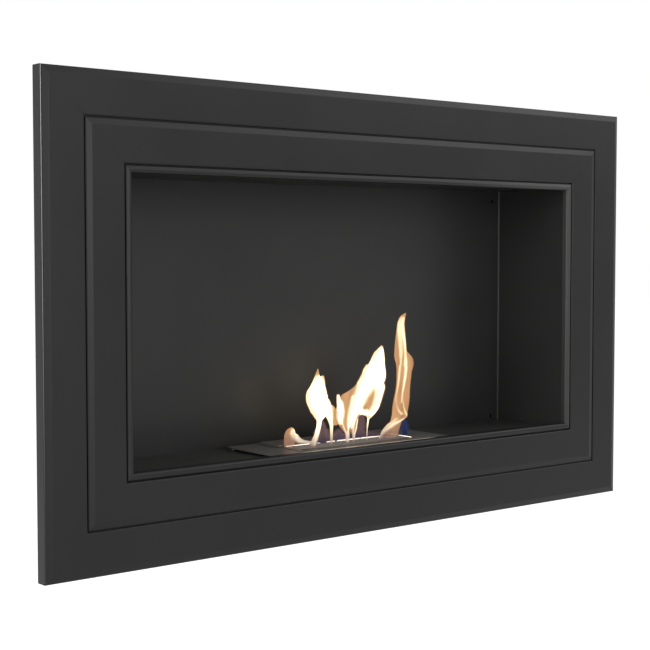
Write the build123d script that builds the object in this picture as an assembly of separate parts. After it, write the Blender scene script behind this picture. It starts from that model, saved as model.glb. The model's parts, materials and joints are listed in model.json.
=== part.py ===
from build123d import *
import os

# A wall-hung bioethanol fireplace: a stepped front frame of folded steel rails round a shallow
# firebox, with a lift-out burner in the firebox floor and a sliding shutter over the burner's slot.
# Millimetres. X runs to the right, Y towards the wall and Z up. The room is on the -Y side.

# Sheet metal
sheet = 1.5                 # steel of the frame and the casing
thin = 1.2                  # steel of the burner
fold = 0.6                  # inside radius of a fold
sharp = 0.2                 # inside radius of a pressed step
hairline = 0.1              # open seam between two mitred rails
running = 0.3               # gap between pieces that move past each other

# Front frame, measured inwards from its edge
frame_width = 850
frame_height = 500
outer_tier = 46             # width of the outer tier
inner_tier = 44             # width of the inner tier
rim_width = 8               # width of the sloping rim
groove = 1                  # shadow groove beside a tier
outer_bevel = 7.5           # sloping edge of the outer tier
inner_bevel = 7             # sloping edge of the inner tier
lap = 15                    # part of the outer tier that lies under the inner one

# Front frame, measured forwards from its front edge
outer_rise = 2.4            # face of the outer tier
inner_edge_rise = 1.5       # outer edge of the inner tier
inner_rise = 2.9            # face of the inner tier
rim_edge_rise = 1.6         # outer edge of the rim
rim_rise = 3.0              # inner edge of the rim
return_depth = 15           # side return of the outer tier, backwards
rim_lip = 6                 # lip of the rim, backwards into the firebox
rim_fold = 2.0              # inside radius of the fold between rim and lip
flange_set = 2.0            # casing flange behind the frame's front edge

# Casing
casing_depth = 122          # wall to the frame's front edge
overhang = 48               # frame edge beyond the casing flange
corner_fold = 2.0           # inside radius of the firebox's rear corners
floor_drop = 6              # opening's lower edge to the firebox floor
burner_space = 54           # firebox floor to the base sheet
turned_edge = 15            # stiffening edges of ceiling, floor and base
corner_notch = 4            # relief where two turned edges meet
flange_notch = 3            # relief at the ends of the side flanges

# Wall fixings
fixing_hole = 5.5           # diameter
fixing_inset = 13           # hole to the side walls and to the ceiling
fixing_lift = 5             # lower holes above the floor

# Frame studs and nuts (M5)
stud = 5.0
stud_hole = 5.5
stud_end = 10               # stud behind the frame's front edge
lap_stud_spread = 0.3       # studs of the long rails off the middle, as a share of the opening
nut_flats = 8.0
nut_height = 4.0
nut_bore = 5.04
key_leg = 72                # leg of a corner key
key_gap = 1.0               # corner key to the rails beside it

# Burner
tank_length = 240
tank_depth = 80
tank_height = 44
tank_corner = 9
tank_flange = 6
plate_front = 8             # frame's front edge to the plate
plate_side = 14             # plate beyond the tank's end walls
plate_edge = 11             # plate beyond the tank's front and rear walls
plate_corner = 2
foot_height = 2.0
foot = 6.0
foot_side = 8               # feet beyond the tank's end walls
foot_edge = 4               # feet beyond the tank's front and rear walls
cutout_gap = 1.5            # tank to the floor's cut-out, each side

# Slot, shutter and baffle
slot_length = 168
slot_depth = 34
slot_front = 20             # plate's front edge to the slot
slot_corner = 2
slot_wall = 0.8             # steel of the slot frame
slot_frame_side = 7         # frame beyond the slot's ends
slot_frame_front = 3        # frame in front of the slot
slot_frame_behind = 2       # frame behind the parked shutter
slot_fit = 0.1              # slot frame's walls to the slot in the plate
slot_skirt = 12             # depth of the folded-down walls
shutter_front_lap = 1.0     # shutter in front of the slot when closed
shutter_rear_lap = 2.0      # shutter behind the slot when closed
shutter_parked = 1.0        # parked shutter behind the slot's edge
shutter_height = 2.2
shutter_bevel = 0.7
grip_width = 26
grip_height = 8
grip_corner = 2.5
baffle_slot_length = 12     # rectangular perforations
baffle_slot_depth = 5
baffle_columns = 10
baffle_rows = 3
baffle_pitch = 16
baffle_row_pitch = 10

cutter = 20                 # length of a drill, more than any sheets it goes through

# Worked out from the sizes above
bend = fold + sheet         # outside radius of a fold
step = sharp + sheet        # outside radius of a pressed step
lap_rise = sheet - flange_set
border = outer_tier + groove + inner_tier + groove + rim_width
opening_width = frame_width - 2 * border
opening_height = frame_height - 2 * border
inner_start = outer_tier + groove
inner_end = inner_start + inner_tier
rim_start = inner_end + groove
front_edge = -casing_depth
flange_front = front_edge + flange_set
flange_back = flange_front + sheet
back_inside = -sheet
wall_x = opening_width / 2 + sheet
ceiling_z = opening_height / 2 + sheet
floor_z = -opening_height / 2 - floor_drop
base_z = floor_z - burner_space
flange_x = frame_width / 2 - overhang
flange_z = frame_height / 2 - overhang
shell_top = ceiling_z + sheet + turned_edge
fixing_x = wall_x - fixing_inset
fixing_top = ceiling_z - fixing_inset
fixing_low = floor_z + fixing_lift
origin_z = (fixing_top + fixing_low) / 2

plate_length = tank_length + 2 * plate_side
plate_depth = tank_depth + 2 * plate_edge
plate_y = front_edge + plate_front
foot_bottom = floor_z + running
plate_under = foot_bottom + foot_height
plate_top = plate_under + thin
burner_y = plate_y + plate_depth / 2
slot_y = plate_y + slot_front + slot_depth / 2
slot_frame_top = plate_top + slot_wall
baffle_top = plate_top - slot_skirt
shutter_under = slot_frame_top + running
shutter_top = shutter_under + shutter_height
shutter_depth = slot_depth + shutter_front_lap + shutter_rear_lap
shutter_front = slot_y + slot_depth / 2 + shutter_parked
shutter_rear = shutter_front + shutter_depth
shutter_half = slot_length / 2 + slot_frame_side + running + thin
slot_frame_end = shutter_rear + slot_frame_behind

# The frame's four sides: name, turn about Y, length and distance from the middle
sides = [
    ("top", 0, frame_width, frame_height / 2),
    ("right", 90, frame_height, frame_width / 2),
    ("bottom", 180, frame_width, frame_height / 2),
    ("left", 270, frame_height, frame_width / 2),
]


def folded(face_line, radii, side=Side.RIGHT, gauge=sheet):
    """The section of a folded sheet: the line of its outer face, thickened to one side."""
    line = FilletPolyline(*face_line, radius=radii)
    return make_face(offset(line, amount=gauge, side=side))


def trim_box(front, rear, under, top):
    """A box as wide as the frame, for trimming."""
    return Pos(0, (front + rear) / 2, (under + top) / 2) * Box(frame_width, rear - front, top - under)


# Front frame

def mitred_rail(section, length, reach):
    """A rail along the top of the frame, its ends cut at 45 degrees towards the opening."""
    across = Plane(origin=(0, front_edge, reach), x_dir=(0, 0, -1), z_dir=(-1, 0, 0))
    rail = extrude(across * section, amount=length / 2, both=True)
    outer_half = length / 2 - hairline / 2
    inner_half = outer_half - border - sheet
    low = reach - border - sheet
    corners = [(-outer_half, reach), (outer_half, reach), (inner_half, low), (-inner_half, low)]
    wedge = extrude(Plane.XZ * make_face(Polyline(*corners, close=True)), amount=2 * casing_depth, both=True)
    return rail & wedge


def frame_sides(section):
    """The four rails of one tier, by side name."""
    return {
        name: Rot(0, turn, 0) * mitred_rail(section, length, reach)
        for name, turn, length, reach in sides
    }


def outer_tier_section():
    """Side return, bevel, face and a step down to the lap that the inner tier covers."""
    line = [
        (0, -return_depth), (0, 0), (outer_bevel, outer_rise), (outer_tier, outer_rise),
        (outer_tier, lap_rise), (outer_tier + lap, lap_rise),
    ]
    return folded(line, [bend, bend, step, sharp])


def inner_tier_section():
    """A channel with a bevelled outer edge, standing on the outer tier's lap and on the flange."""
    line = [
        (inner_start, lap_rise), (inner_start, inner_edge_rise), (inner_start + inner_bevel, inner_rise),
        (inner_end, inner_rise), (inner_end, -flange_set),
    ]
    return folded(line, [step, bend, bend])


def rim_section():
    """A sloping strip between the inner tier and the opening, with a lip into the firebox."""
    line = [
        (rim_start, -flange_set), (rim_start, rim_edge_rise), (border, rim_rise), (border, -rim_lip),
    ]
    return folded(line, [step, rim_fold + sheet])


def corner_keys():
    """Flat angles inside the inner tier's corners, between its face and the casing flange."""
    outer = outer_tier + lap + key_gap
    width = inner_end - sheet - key_gap - outer
    thickness = inner_rise - sheet + flange_set
    leg = Pos(key_leg / 2, 0, -width / 2) * Box(key_leg, thickness, width)
    arm = Pos(width / 2, 0, -key_leg / 2) * Box(width, thickness, key_leg)
    level = front_edge + flange_set - thickness / 2
    top_left = Pos(-frame_width / 2 + outer, level, frame_height / 2 - outer) * (leg + arm)
    top = [top_left, mirror(top_left, about=Plane.YZ)]
    return top + [mirror(key, about=Plane.XY) for key in top]


# Studs and nuts

def stud_places():
    """Studs behind the frame, across and up: on the outer tier's lap and on the corner keys."""
    lap_inset = (inner_start + outer_tier + lap) / 2 + groove
    lap_x = frame_width / 2 - lap_inset
    lap_z = frame_height / 2 - lap_inset
    key_inset = (outer_tier + lap + inner_end) / 2
    key_x = frame_width / 2 - key_inset
    key_z = frame_height / 2 - key_inset
    spread = opening_width * lap_stud_spread
    places = [(hand * lap_x, 0) for hand in (-1, 1)]
    for hand in (-1, 1):
        for level in (-1, 1):
            places += [(hand * spread, level * lap_z), (hand * key_x, level * key_z)]
    return places


def at_studs(piece):
    """Copies of a piece, made at the frame's front edge, at all stud places."""
    return [Pos(x, front_edge, z) * piece for x, z in stud_places()]


def frame_studs():
    """Studs welded behind the lap and the corner keys, through the casing flange."""
    length = stud_end - flange_set
    return at_studs(Pos(0, flange_set + length / 2, 0) * Rot(90, 0, 0) * Cylinder(stud / 2, length))


def frame_nuts():
    """Hexagon nuts on the studs, behind the casing flange."""
    blank = RegularPolygon(nut_flats / 2, side_count=6, major_radius=False) - Circle(nut_bore / 2)
    return at_studs(Pos(0, flange_set + sheet, 0) * extrude(Plane.XZ * blank, amount=-nut_height))


def stud_holes():
    """Clearance holes for the studs, through the casing flange."""
    return at_studs(Rot(90, 0, 0) * Cylinder(stud_hole / 2, cutter))


# Casing

def fixing_places():
    """The four wall fixing holes, across and up."""
    return [(x, z) for x in (-fixing_x, fixing_x) for z in (fixing_low, fixing_top)]


def firebox_shell():
    """Back and side walls, one sheet, with front flanges that carry the frame's side rails."""
    line = [
        (-flange_x, flange_front), (-wall_x, flange_front), (-wall_x, back_inside),
        (wall_x, back_inside), (wall_x, flange_front), (flange_x, flange_front),
    ]
    section = folded(line, [bend, corner_fold, corner_fold, bend], side=Side.LEFT)
    under = base_z - sheet
    shell = Pos(0, 0, under) * extrude(section, amount=shell_top - under)
    flange_relief = flange_back + bend
    upper = trim_box(2 * front_edge, flange_relief, ceiling_z - flange_notch, frame_height)
    lower = trim_box(2 * front_edge, flange_relief, -frame_height, -ceiling_z + flange_notch)
    shell -= [upper, lower]
    drill = Rot(90, 0, 0) * Cylinder(fixing_hole / 2, cutter)
    shell -= [Pos(x, 0, z) * drill for x, z in fixing_places()]
    return shell - stud_holes()


def turned_sheet(line, radii, side, front_flange=True):
    """A panel between the side walls from its fore-and-aft section, with a wider front flange."""
    section = folded(line, radii, side=side)
    panel = extrude(Plane.YZ * section, amount=flange_x, both=True)
    keep = Box(2 * wall_x, 4 * casing_depth, 4 * frame_height)
    if front_flange:
        keep += trim_box(2 * front_edge, flange_back + fold, -frame_height, frame_height)
    notch = Box(2 * corner_notch, 2 * corner_notch, 4 * frame_height)
    return (panel & keep) - [Pos(x, back_inside, 0) * notch for x in (-wall_x, wall_x)]


def side_edges(face_z, edge_z):
    """The turned edges of a panel along both side walls."""
    inward = wall_x - 2 * bend
    line = [(inward, face_z), (wall_x, face_z), (wall_x, edge_z)]
    side = Side.LEFT if edge_z > face_z else Side.RIGHT
    section = folded(line, [bend], side=side)
    front = flange_back + corner_notch
    rear = back_inside - corner_notch
    right = Pos(0, rear, 0) * extrude(Plane.XZ * section, amount=rear - front)
    return [right, mirror(right, about=Plane.YZ)]


def firebox_ceiling():
    """Ceiling sheet with turned-up edges and the wide front flange above the opening."""
    line = [
        (flange_front, flange_z), (flange_front, ceiling_z), (back_inside, ceiling_z),
        (back_inside, shell_top),
    ]
    panel = turned_sheet(line, [bend, bend], Side.LEFT)
    panel += side_edges(ceiling_z, shell_top)
    return panel - stud_holes()


def firebox_floor():
    """Floor sheet with turned-down edges and the cut-out that the burner's tank hangs in."""
    edge_z = floor_z - sheet - turned_edge
    line = [(flange_back, floor_z), (back_inside, floor_z), (back_inside, edge_z)]
    panel = turned_sheet(line, [bend], Side.RIGHT, front_flange=False)
    panel += side_edges(floor_z, edge_z)
    long = tank_length + 2 * cutout_gap
    deep = tank_depth + 2 * cutout_gap
    opening = extrude(RectangleRounded(long, deep, tank_corner + cutout_gap), amount=cutter, both=True)
    return panel - Pos(0, burner_y, floor_z) * opening


def casing_base():
    """Base sheet with turned-up edges and the tall front apron under the opening."""
    top = -ceiling_z
    line = [
        (flange_front, top), (flange_front, base_z - sheet), (back_inside, base_z - sheet),
        (back_inside, base_z + turned_edge),
    ]
    panel = turned_sheet(line, [bend, bend], Side.LEFT)
    panel += side_edges(base_z - sheet, base_z + turned_edge)
    return panel - stud_holes()


# Burner

def rounded_plate(length, depth, radius, under, top):
    """A flat plate with rounded corners, centred on the burner."""
    return Pos(0, burner_y, under) * extrude(RectangleRounded(length, depth, radius), amount=top - under)


def burner_tank():
    """Open tank with rounded corners and a rim that is welded under the top plate."""
    under = plate_under - tank_height
    body = rounded_plate(tank_length, tank_depth, tank_corner, under, plate_under)
    inner = rounded_plate(
        tank_length - 2 * thin, tank_depth - 2 * thin, tank_corner - thin, under + thin, plate_under
    )
    rim = rounded_plate(
        tank_length + 2 * tank_flange, tank_depth + 2 * tank_flange, tank_corner + tank_flange,
        plate_under - thin, plate_under,
    )
    return body + rim - inner


def ceramic_wool():
    """The wool block that fills the tank up to the baffle."""
    under = plate_under - tank_height + thin
    return rounded_plate(
        tank_length - 2 * thin, tank_depth - 2 * thin, tank_corner - thin, under, baffle_top - thin
    )


def slot_cut(grow, under, top):
    """The slot's space, grown on all sides."""
    outline = RectangleRounded(slot_length + 2 * grow, slot_depth + 2 * grow, slot_corner + grow)
    return Pos(0, slot_y, under) * extrude(outline, amount=top - under)


def burner_top_plate():
    """Flat top plate with the long slot."""
    plate = rounded_plate(plate_length, plate_depth, plate_corner, plate_under, plate_top)
    return plate - slot_cut(slot_wall + slot_fit, plate_under, plate_top)


def burner_feet():
    """Four small feet under the corners of the top plate."""
    x = tank_length / 2 + foot_side
    y = tank_depth / 2 + foot_edge
    disc = Cylinder(foot / 2, foot_height)
    middle = foot_bottom + foot_height / 2
    return [Pos(i * x, burner_y + j * y, middle) * disc for i in (-1, 1) for j in (-1, 1)]


def slot_frame():
    """Thin lining of the slot: a flat bed that the shutter slides on, and folded-down walls."""
    front = slot_y - slot_depth / 2 - slot_frame_front
    width = slot_length + 2 * slot_frame_side
    bed = extrude(RectangleRounded(width, slot_frame_end - front, slot_corner), amount=slot_wall)
    bed = Pos(0, (front + slot_frame_end) / 2, plate_top) * bed
    walls = slot_cut(slot_wall, baffle_top, plate_top)
    return bed + walls - slot_cut(0, baffle_top, slot_frame_top)


def flame_baffle():
    """Perforated strip across the foot of the slot's walls."""
    outline = RectangleRounded(
        slot_length + 2 * slot_wall, slot_depth + 2 * slot_wall, slot_corner + slot_wall
    )
    places = GridLocations(baffle_pitch, baffle_row_pitch, baffle_columns, baffle_rows)
    holes = places * Rectangle(baffle_slot_length, baffle_slot_depth)
    return Pos(0, slot_y, baffle_top - thin) * extrude(outline - holes, amount=thin)


# Shutter

def shutter():
    """Shallow lid on the slot frame, with end skirts that guide it and a grip turned up behind."""
    middle = (shutter_front + shutter_rear) / 2
    cover = Pos(0, middle, shutter_under) * extrude(
        RectangleRounded(2 * shutter_half, shutter_depth, slot_corner), amount=shutter_height
    )
    cover = chamfer(cover.faces().sort_by(Axis.Z)[-1].edges(), length=shutter_bevel)
    inside = Pos(0, middle, shutter_under + (shutter_height - thin) / 2) * Box(
        2 * (shutter_half - thin), shutter_depth - 2 * thin, shutter_height - thin
    )
    cover -= inside
    skirt = Box(thin, shutter_depth - 2 * slot_corner, slot_wall)
    skirt_x = shutter_half - thin / 2
    skirt_z = shutter_under - slot_wall / 2
    cover += [Pos(hand * skirt_x, middle, skirt_z) * skirt for hand in (-1, 1)]
    grip = Box(grip_width, thin, grip_height)
    grip = chamfer(grip.edges().filter_by(Axis.Y).group_by(Axis.Z)[-1], length=grip_corner)
    return cover + Pos(0, shutter_rear - thin / 2, shutter_top - thin + grip_height / 2) * grip


def write(name, piece):
    """Writes one sub-part, placed from the middle of the four wall fixing holes."""
    solids = piece if isinstance(piece, list) else [piece]
    placed = [Pos(0, 0, -origin_z) * solid for shape in solids for solid in shape.solids()]
    export_step(placed[0] if len(placed) == 1 else Compound(children=placed), f"parts/{name}.step")


os.makedirs("parts", exist_ok=True)

tiers = {
    "outer_tier": outer_tier_section(),
    "inner_tier": inner_tier_section(),
    "rim": rim_section(),
}
for tier, section in tiers.items():
    for side_name, rail in frame_sides(section).items():
        write(f"{tier}_{side_name}", rail)

write("corner_keys", corner_keys())
write("frame_studs", frame_studs())
write("frame_nuts", frame_nuts())
write("firebox_shell", firebox_shell())
write("firebox_ceiling", firebox_ceiling())
write("firebox_floor", firebox_floor())
write("casing_base", casing_base())
write("burner_tank", burner_tank())
write("burner_top_plate", burner_top_plate())
write("burner_feet", burner_feet())
write("slot_frame", slot_frame())
write("flame_baffle", flame_baffle())
write("ceramic_wool", ceramic_wool())
write("shutter", shutter())
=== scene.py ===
"""A wall-hung bioethanol fireplace, dressed for its portrait.

The steel frame, casing and burner come from the frame that is loaded below, and get their finishes
here. The threaded studs, the nuts, the fibre pad and the flames are modelled here. All lengths are
metres, in the fireplace's own frame: X to the right, Y into the wall and Z up.
"""
import json
import math

import bpy
import numpy
from bpy.props import FloatProperty, FloatVectorProperty, IntProperty, PointerProperty
from bpy.types import Operator, Panel, PropertyGroup
from mathutils import Euler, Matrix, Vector


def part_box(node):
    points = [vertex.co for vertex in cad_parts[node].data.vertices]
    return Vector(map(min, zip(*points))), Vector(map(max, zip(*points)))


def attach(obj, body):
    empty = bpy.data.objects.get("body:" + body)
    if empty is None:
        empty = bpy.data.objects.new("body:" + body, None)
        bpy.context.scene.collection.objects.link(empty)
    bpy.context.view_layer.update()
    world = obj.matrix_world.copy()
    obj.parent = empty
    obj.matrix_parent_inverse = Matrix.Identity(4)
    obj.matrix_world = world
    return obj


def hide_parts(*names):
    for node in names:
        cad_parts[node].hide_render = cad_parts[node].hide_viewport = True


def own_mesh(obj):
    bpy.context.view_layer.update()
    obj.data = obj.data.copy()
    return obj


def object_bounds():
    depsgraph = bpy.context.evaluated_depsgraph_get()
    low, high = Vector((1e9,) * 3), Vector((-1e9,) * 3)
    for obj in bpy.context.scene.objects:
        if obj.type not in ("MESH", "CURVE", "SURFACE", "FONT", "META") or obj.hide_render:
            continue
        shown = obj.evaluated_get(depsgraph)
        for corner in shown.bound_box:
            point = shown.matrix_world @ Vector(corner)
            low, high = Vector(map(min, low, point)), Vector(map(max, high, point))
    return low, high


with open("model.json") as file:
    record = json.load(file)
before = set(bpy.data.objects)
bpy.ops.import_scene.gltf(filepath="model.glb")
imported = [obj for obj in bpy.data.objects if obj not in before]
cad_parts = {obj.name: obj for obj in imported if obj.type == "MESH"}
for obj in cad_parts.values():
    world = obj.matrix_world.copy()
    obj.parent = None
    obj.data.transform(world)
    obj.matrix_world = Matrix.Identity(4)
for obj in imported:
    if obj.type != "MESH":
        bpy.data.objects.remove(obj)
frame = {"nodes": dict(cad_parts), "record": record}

bl_info = {
    "name": "Bioethanol Fireplace",
    "version": (1, 0, 0),
    "blender": (4, 5, 0),
    "location": "3D View > Sidebar > Fireplace",
    "description": "Finishes, fasteners, fibre pad, flames and studio of a wall-hung fireplace",
    "category": "Object",
}

MM = 0.001
FRAME_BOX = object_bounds()

# Nodes by finish
RAILS = [
    f"{tier}_{side}"
    for tier in ("outer_tier", "inner_tier", "rim")
    for side in ("top", "right", "bottom", "left")
]
CASING = ["firebox_shell", "firebox_ceiling", "casing_base"]
CASING_FLOOR = ["firebox_floor"]
COATED_BURNER = ["burner_top_plate", "shutter", "slot_frame"]
BARE_BURNER = ["burner_tank", "burner_feet"]
HOT_BURNER = ["flame_baffle"]

# Flames: tongues as (across, up, half width) in millimetres, from the middle of the slot and the
# top of its lining. "behind" is how far a flame stands behind the middle of the slot, "legs" are
# its thin feet, "bright" is what glows white inside it, "streaks" glow a little less, and
# "hottest" is how near to white they come.
LEFT_FLAME = {
    "behind": 0,
    "hottest": 1.0,
    "tongues": [
        [(-42, 32, 5.9), (-44.4, 34.5, 11.9), (-44, 41.8, 16.2), (-48.6, 48.7, 14.6),
         (-50.5, 53.9, 16.3), (-51.1, 58.7, 16.1), (-49.7, 64.6, 13.5), (-49.7, 72.2, 9.3),
         (-50.5, 78.9, 4.7), (-50.3, 84.5, 2.4), (-49.7, 90, 0.8)],
        [(-45.9, 67.2, 7.9), (-42.1, 76.4, 4), (-42.6, 81.3, 1.8)],
        [(-32.8, 43.4, 5.4), (-27, 37.2, 8.1), (-23.1, 25.3, 4.4), (-23.4, 21.5, 3.7)],
    ],
    "legs": [
        [(-58.9, -0.9, 4.8), (-56.3, 5.9, 5), (-52.9, 11.2, 3.8), (-50.9, 17.9, 3.9),
         (-48.9, 23.3, 3.7), (-47.7, 31.4, 4.5)],
        [(-30.8, -1.2, 2), (-30.7, 1.3, 2.1), (-30, 16.3, 2.9), (-29.7, 23.2, 3.1),
         (-32.1, 32.3, 4.7), (-34.2, 38, 7.4)],
    ],
    "bright": [
        [(-43, 36, 5), (-44.5, 41, 11), (-47.5, 47.5, 13.2), (-50, 53.4, 14.4), (-50.6, 58.7, 14.2),
         (-49.4, 65, 11.4), (-48.8, 72, 7.6), (-47.6, 77, 4.4), (-47, 80.5, 1.4)],
    ],
    "streaks": [
        [(-57, 3, 2.2), (-54.6, 9, 2.8), (-51.8, 16.5, 3), (-49.6, 23.5, 3.2), (-47.4, 32, 4),
         (-44, 41, 7)],
        [(-30.6, 4, 0.8), (-30.1, 12, 1.1), (-30, 22, 1.5), (-32.5, 32, 3.2), (-37, 42, 7),
         (-39, 50, 7)],
    ],
}
MIDDLE_FLAME = {
    "behind": 0,
    "hottest": 1.0,
    "tongues": [
        [(22.7, 29, 8.4), (24.9, 34, 11.9), (26.3, 41.1, 18.2), (26.4, 49.3, 20.5),
         (29.1, 60.5, 21.5), (31, 67.1, 22.4), (31.7, 71.2, 17.2), (36.3, 77.5, 19.3),
         (39.1, 81.2, 16.7), (41.8, 90.1, 12), (44.6, 100, 9.5), (46.8, 103.9, 6.8),
         (49, 112, 1.4)],
        [(25.8, 77.7, 16.5), (24.1, 80.9, 3), (25.6, 90, 2.8)],
        [(-6.3, 10.3, 2), (-5.8, 16.4, 8.7), (-6.7, 24, 12.3), (-6.3, 35.8, 15.6),
         (-6.4, 45.2, 14.2), (-2.6, 51.3, 12.5), (0.2, 56, 6.5), (8.1, 64.4, 2.8),
         (15.7, 69.7, 5.3)],
        [(-19.3, 58, 2.4), (-18.3, 48.4, 3.6), (-16.2, 42.5, 3.9), (-18.3, 34.3, 4),
         (-18.7, 28.1, 3.2), (-15.5, 19.9, 2.1)],
        [(4.9, 10.9, 4.1), (3.7, 19, 7.4), (5.7, 34.3, 7.2), (11.9, 39.9, 15.4), (9, 54.3, 12)],
    ],
    "legs": [
        [(-5.4, -1.3, 3.1), (-5.4, 0, 3.1), (-5.1, 7.1, 3.4), (-4.2, 16.9, 4.4)],
        [(4.3, -1.1, 2.1), (4.5, 5.2, 2.5), (5.4, 10.8, 3), (5.6, 16.3, 5.6)],
        [(25.6, -1.1, 1.1), (25.8, 0.7, 1.3), (26.1, 13.4, 1.4), (27.4, 29, 2.2),
         (28.1, 37.5, 1.3)],
    ],
    "bright": [
        [(34, 73, 11), (35, 78, 13.6), (38, 83, 13.6), (42, 90, 10.6), (45, 98, 7.6),
         (47, 104, 4.8), (48.8, 109, 1.3)],
        [(32, 70, 10), (27, 79, 6), (25, 86, 2.2)],
        [(25, 71, 7), (16.5, 62, 6.6), (12.4, 55.5, 6), (9.4, 46.5, 5.4), (6.4, 37.5, 4.4),
         (2.5, 27, 2.8), (-0.5, 17, 1.6)],
        [(48, 76, 4.4), (47.4, 62, 3.8), (45, 49, 3.4), (40.6, 39.4, 3), (34, 32.4, 2.4),
         (28.4, 28, 1.4)],
    ],
    "streaks": [
        [(9, 40, 3), (13, 35, 3), (18, 33.2, 2.6), (24, 32.8, 2.4), (30, 34, 2.2)],
        [(-19.2, 55.5, 1.5), (-17.8, 47, 2.6), (-17.6, 37, 3.2), (-18, 30, 3), (-16.6, 23.5, 1.4)],
        [(-5.4, 2.5, 1.6), (-5.4, 9, 2), (-6.2, 15, 1.2), (-8, 24, 0.8)],
        [(4.6, 4, 1.2), (5, 9, 1.6), (6.8, 16, 1.2), (8.6, 26, 1)],
        [(25.7, 1.5, 0.7), (26.1, 12, 0.8), (27.2, 26, 1.2)],
    ],
}
RIGHT_FLAME = {
    "behind": 0,
    "hottest": 0.7,
    "tongues": [
        [(77.9, 20.9, 12.3), (75.8, 26.3, 12), (77.8, 36, 12.6), (80.8, 46.2, 12.4),
         (82.6, 54.8, 11.3), (84.2, 65.8, 11), (85.4, 75.9, 12), (85.4, 84.7, 11.6)],
        [(81.6, 73.6, 8.5), (78.7, 86.8, 5.4), (78.2, 95.6, 9.8), (78.4, 104.1, 9.9),
         (77.6, 117, 8.6), (77.7, 127.1, 7.1), (78, 138, 5.9), (81.5, 144.4, 4.5),
         (87.4, 149.6, 0.8)],
        [(86.8, 79.7, 10.2), (89.3, 86.3, 10.8), (88.5, 90.6, 11.2), (86.2, 96, 8.7),
         (84.3, 102.2, 4.4)],
        [(63.8, 1.8, 11.3), (63.4, 8.3, 12.8), (69.8, 14.1, 7.7), (74.6, 23.5, 6.5)],
    ],
    "legs": [
        [(44.3, -0.7, 1.3), (47.2, 1.4, 2.3), (51.7, 6.4, 4.8), (61.8, 13.3, 6.1),
         (64.5, 16.5, 3.4), (69.6, 21.3, 8.5)],
    ],
    "bright": [],
    "streaks": [
        [(74.6, 42, 0.6), (77, 52, 1.1), (80, 62, 1.5), (82, 72, 2), (83.2, 84, 2.2),
         (83.2, 94, 2.2), (82.6, 104, 2.6), (80.6, 117, 3.4), (78, 129, 4), (77.8, 137, 3.4),
         (81, 143.6, 1.6)],
        [(44.9, 0.8, 1), (46.8, 3.8, 1.4), (51, 8.6, 1.9), (57.5, 13, 2.2), (64, 16.4, 2.1),
         (71, 19, 1.8), (77.5, 21.8, 1)],
        [(83.6, 27, 1.5), (80, 31, 1.1), (77.6, 37, 0.6), (76.6, 45, 0.5), (77.6, 53, 0.5)],
    ],
}
LOW_CURL = {
    "behind": 13,
    "hottest": 0.8,
    "tongues": [
        [(-83, -1, 6), (-82, 4, 7.6), (-80.8, 9, 9), (-80, 14, 9.2), (-79.4, 18, 7.2),
         (-76.6, 21.6, 2.4)],
    ],
    "legs": [
        [(-74, 11, 5.5), (-69, 6.8, 4.4), (-62, 4.3, 2.9), (-55, 3.4, 2.2), (-49, 3.2, 1.6)],
    ],
    "bright": [],
    "streaks": [
        [(-76.4, 19.6, 1.4), (-74.8, 15.6, 3.2), (-72.4, 10.6, 3.6), (-68, 6.6, 2.9),
         (-61, 4.3, 1.9), (-54, 3.4, 1.5), (-49, 3.2, 1)],
    ],
}
FLAMES = {"left": LEFT_FLAME, "middle": MIDDLE_FLAME, "right": RIGHT_FLAME, "low": LOW_CURL}
HAZE = [
    [(-41, 2, 9), (-40.6, 12, 7.6), (-40.4, 21, 4.6), (-40.3, 28, 1.2)],
    [(-24, 4, 7), (-19, 9, 8.5), (-14, 15, 5)],
    [(14, 4, 8), (18, 12, 7.4), (18.6, 22, 7.2), (18.4, 30, 4.4)],
    [(-66, 1, 1.5), (-40, 6, 4.6), (-10, 7, 5.2), (14, 7, 5.2), (36, 5, 4), (54, 3, 2.4),
     (80, 1.5, 1.5)],
]
BLUE_FOOT = [
    [(87, 0, 7.5), (87, 7, 7.2), (85.6, 14, 6), (84.4, 20, 4.2), (83.6, 26, 1.6)],
]

# The haze and the blue foot are nested shells: each one's width as a share of the tables' half
# widths, and how far they stand behind the middle of the slot, in millimetres
SHELLS = (1.12, 0.96, 0.8, 0.64, 0.48)
HAZE_BEHIND = 2
# The height over which a flame's colour, and the haze's, changes from foot to top
FLAME_RISE = 0.06
HAZE_RISE = 0.03
# Half the width of a streak's soft edge stays within these, in millimetres
BLUR_LIMITS = (1.3, 4.0)
# How slowly a flame sways as it goes up and across, in millimetres per radian
SWAY_WAVES = (17.0, 23.0)

# Gloss of the satin coats, as index of refraction, and the height of their ripples
COAT_IOR = 1.27
PLATE_IOR = 1.36
RIPPLE_HEIGHT = 0.004 * MM


# Settings

def colour_setting(name, description, default):
    return FloatVectorProperty(
        name=name, description=description, subtype="COLOR", min=0, max=1, default=default)


def length_setting(name, description, default):
    return FloatProperty(name=name, description=description, unit="LENGTH", default=default)


def share_setting(name, description, default, low=0):
    return FloatProperty(
        name=name, description=description, subtype="FACTOR", min=low, max=1, default=default)


def angle_setting(name, description, degrees):
    return FloatProperty(
        name=name, description=description, subtype="ANGLE", default=math.radians(degrees))


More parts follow.
